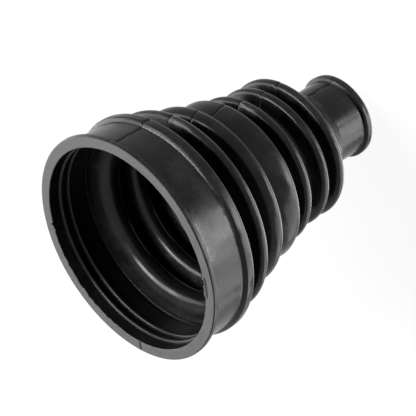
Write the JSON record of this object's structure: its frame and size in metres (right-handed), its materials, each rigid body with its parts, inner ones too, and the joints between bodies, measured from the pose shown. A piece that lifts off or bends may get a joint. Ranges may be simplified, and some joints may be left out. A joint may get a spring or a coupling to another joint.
{
  "type": "rubber bellows boot",
  "caption": "Moulded rubber bellows boot with a wide lipped mouth, a clamp band seat at each end, narrowing folds and a small neck that grips a shaft.",
  "frame": {"origin": "centre of the flat end of the neck, which the boot stands on", "axes": "+Z along the boot's axis, from the neck to the wide mouth; +X is the side with one of the two mould parting lines"},
  "size_m": [0.085, 0.085, 0.11],
  "materials": {
    "rubber": "satin black moulded rubber"
  },
  "bodies": {
    "root": {"boot": "rubber"}
  },
  "joints": []
}
